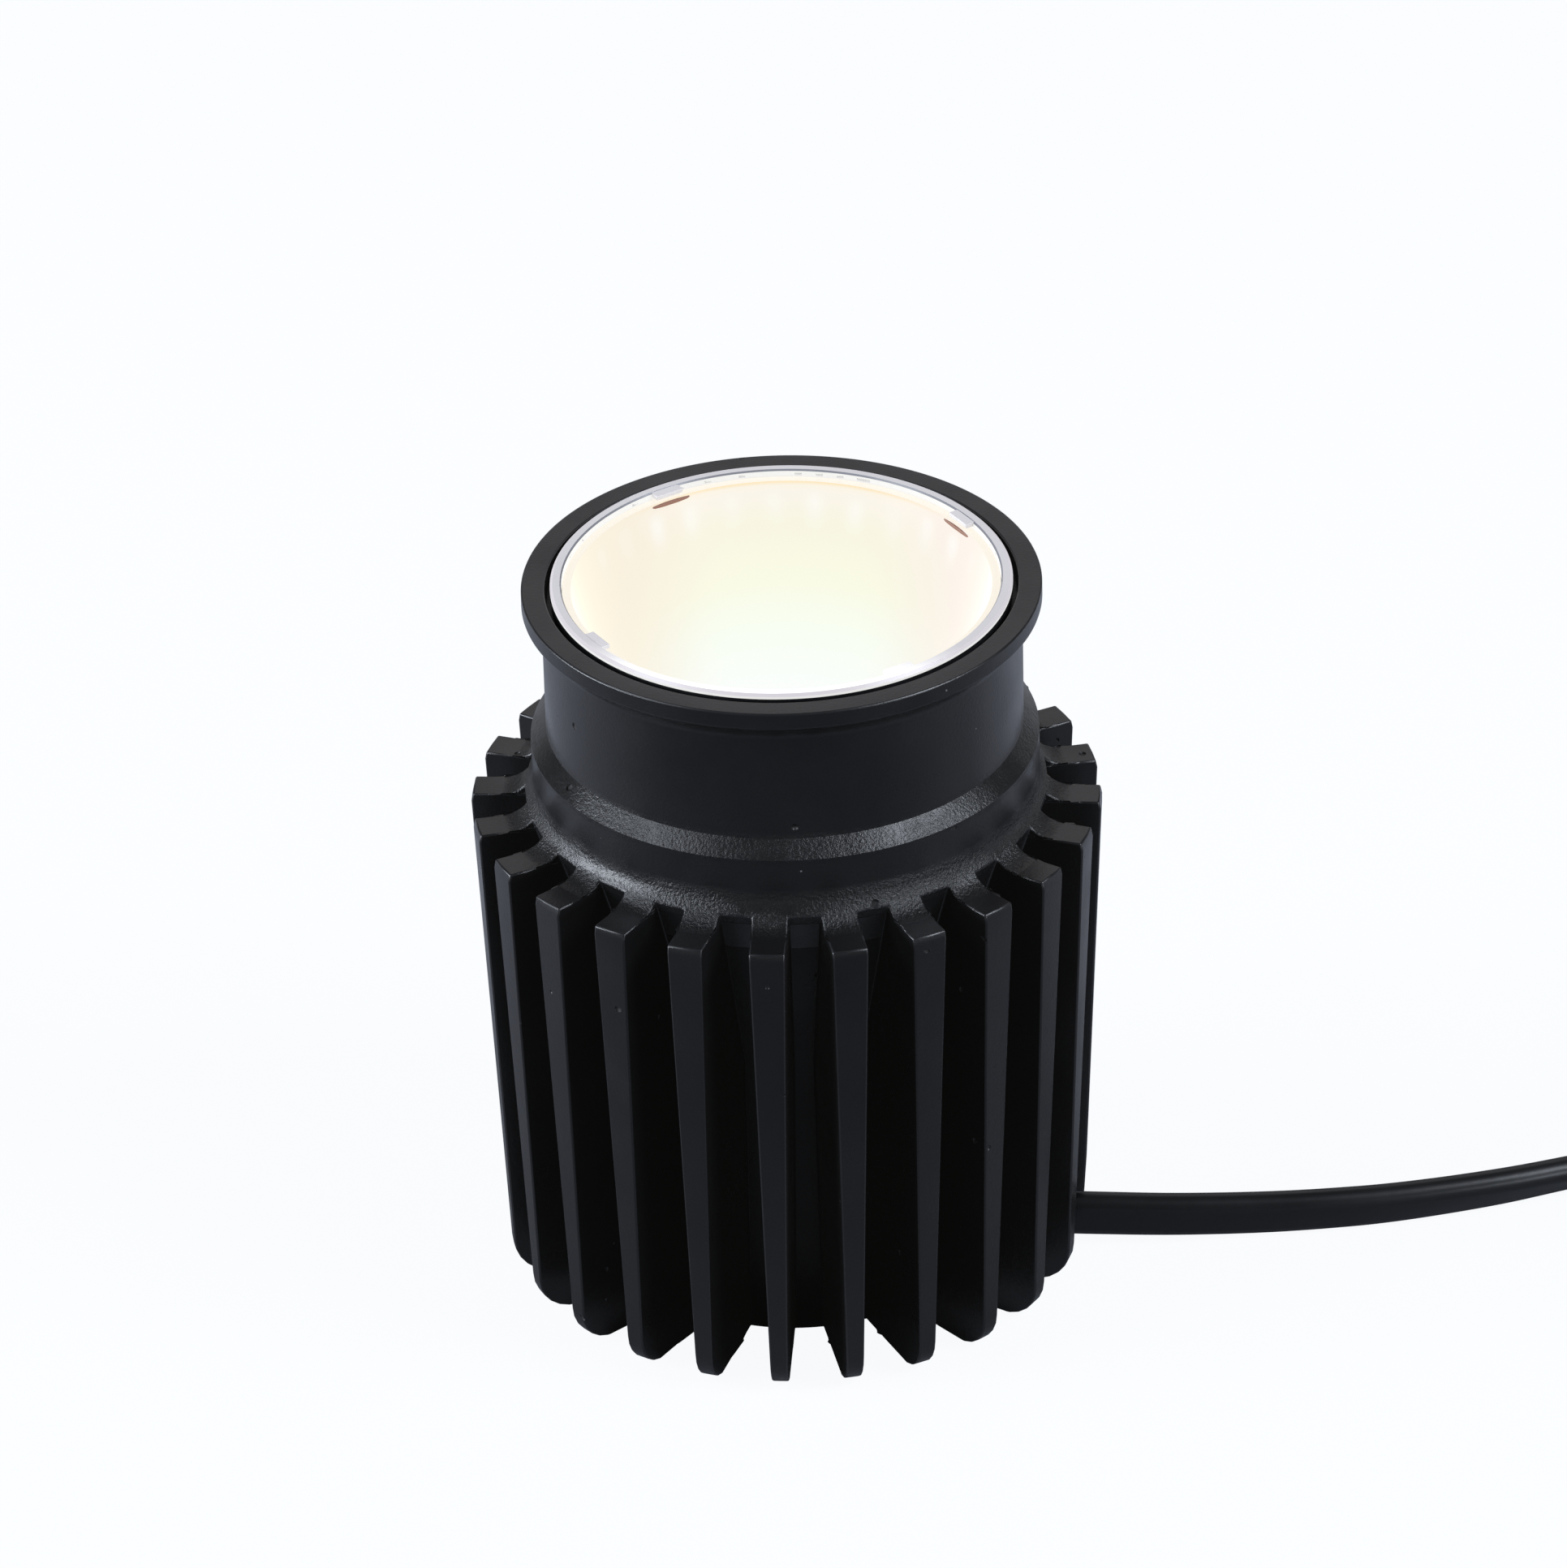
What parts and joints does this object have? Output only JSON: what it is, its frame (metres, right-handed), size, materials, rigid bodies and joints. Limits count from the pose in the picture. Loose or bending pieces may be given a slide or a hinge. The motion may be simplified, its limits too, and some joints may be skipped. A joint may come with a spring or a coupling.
{
  "type": "led module",
  "caption": "Round LED downlight module: a black finned heat sink with a front flange, a lit reflector cup under a clear cover, and a short flat lead with a plug",
  "frame": {"origin": "centre of the fin tips that the module stands on", "axes": "+Z the way the light leaves, +X the side where the lead comes out"},
  "size_m": [0.2045, 0.0614, 0.0755],
  "materials": {
    "black_casting": "black coated die casting, fine cast grain",
    "black_plastic": "black moulded plastic",
    "pad_rubber": "grey heat-conducting pad",
    "board": "white coated metal board",
    "glow": "yellow glowing layer",
    "white_plastic": "white moulded plastic",
    "screw_steel": "plated steel",
    "reflector": "bright reflecting layer",
    "clear_cover": "clear cover with a frosted edge",
    "wire_red": "insulated wire",
    "black_rubber": "black rubber",
    "cable_jacket": "smooth black jacket",
    "plated_metal": "nickel plated",
    "contact_brass": "bare brass"
  },
  "bodies": {
    "root": {"heat_sink": "black_casting", "base_cover": "black_plastic", "thermal_pad": "pad_rubber", "led_board": "board", "led_phosphor": "glow", "led_holder": "white_plastic", "holder_screws": "screw_steel", "reflector": "reflector", "front_cover": "clear_cover", "inner_wires": "wire_red", "cable_grommet": "black_rubber", "cable": "cable_jacket", "plug_body": "black_plastic", "plug_sleeve": "plated_metal", "plug_insulator": "black_plastic", "plug_contact": "contact_brass"}
  },
  "joints": []
}
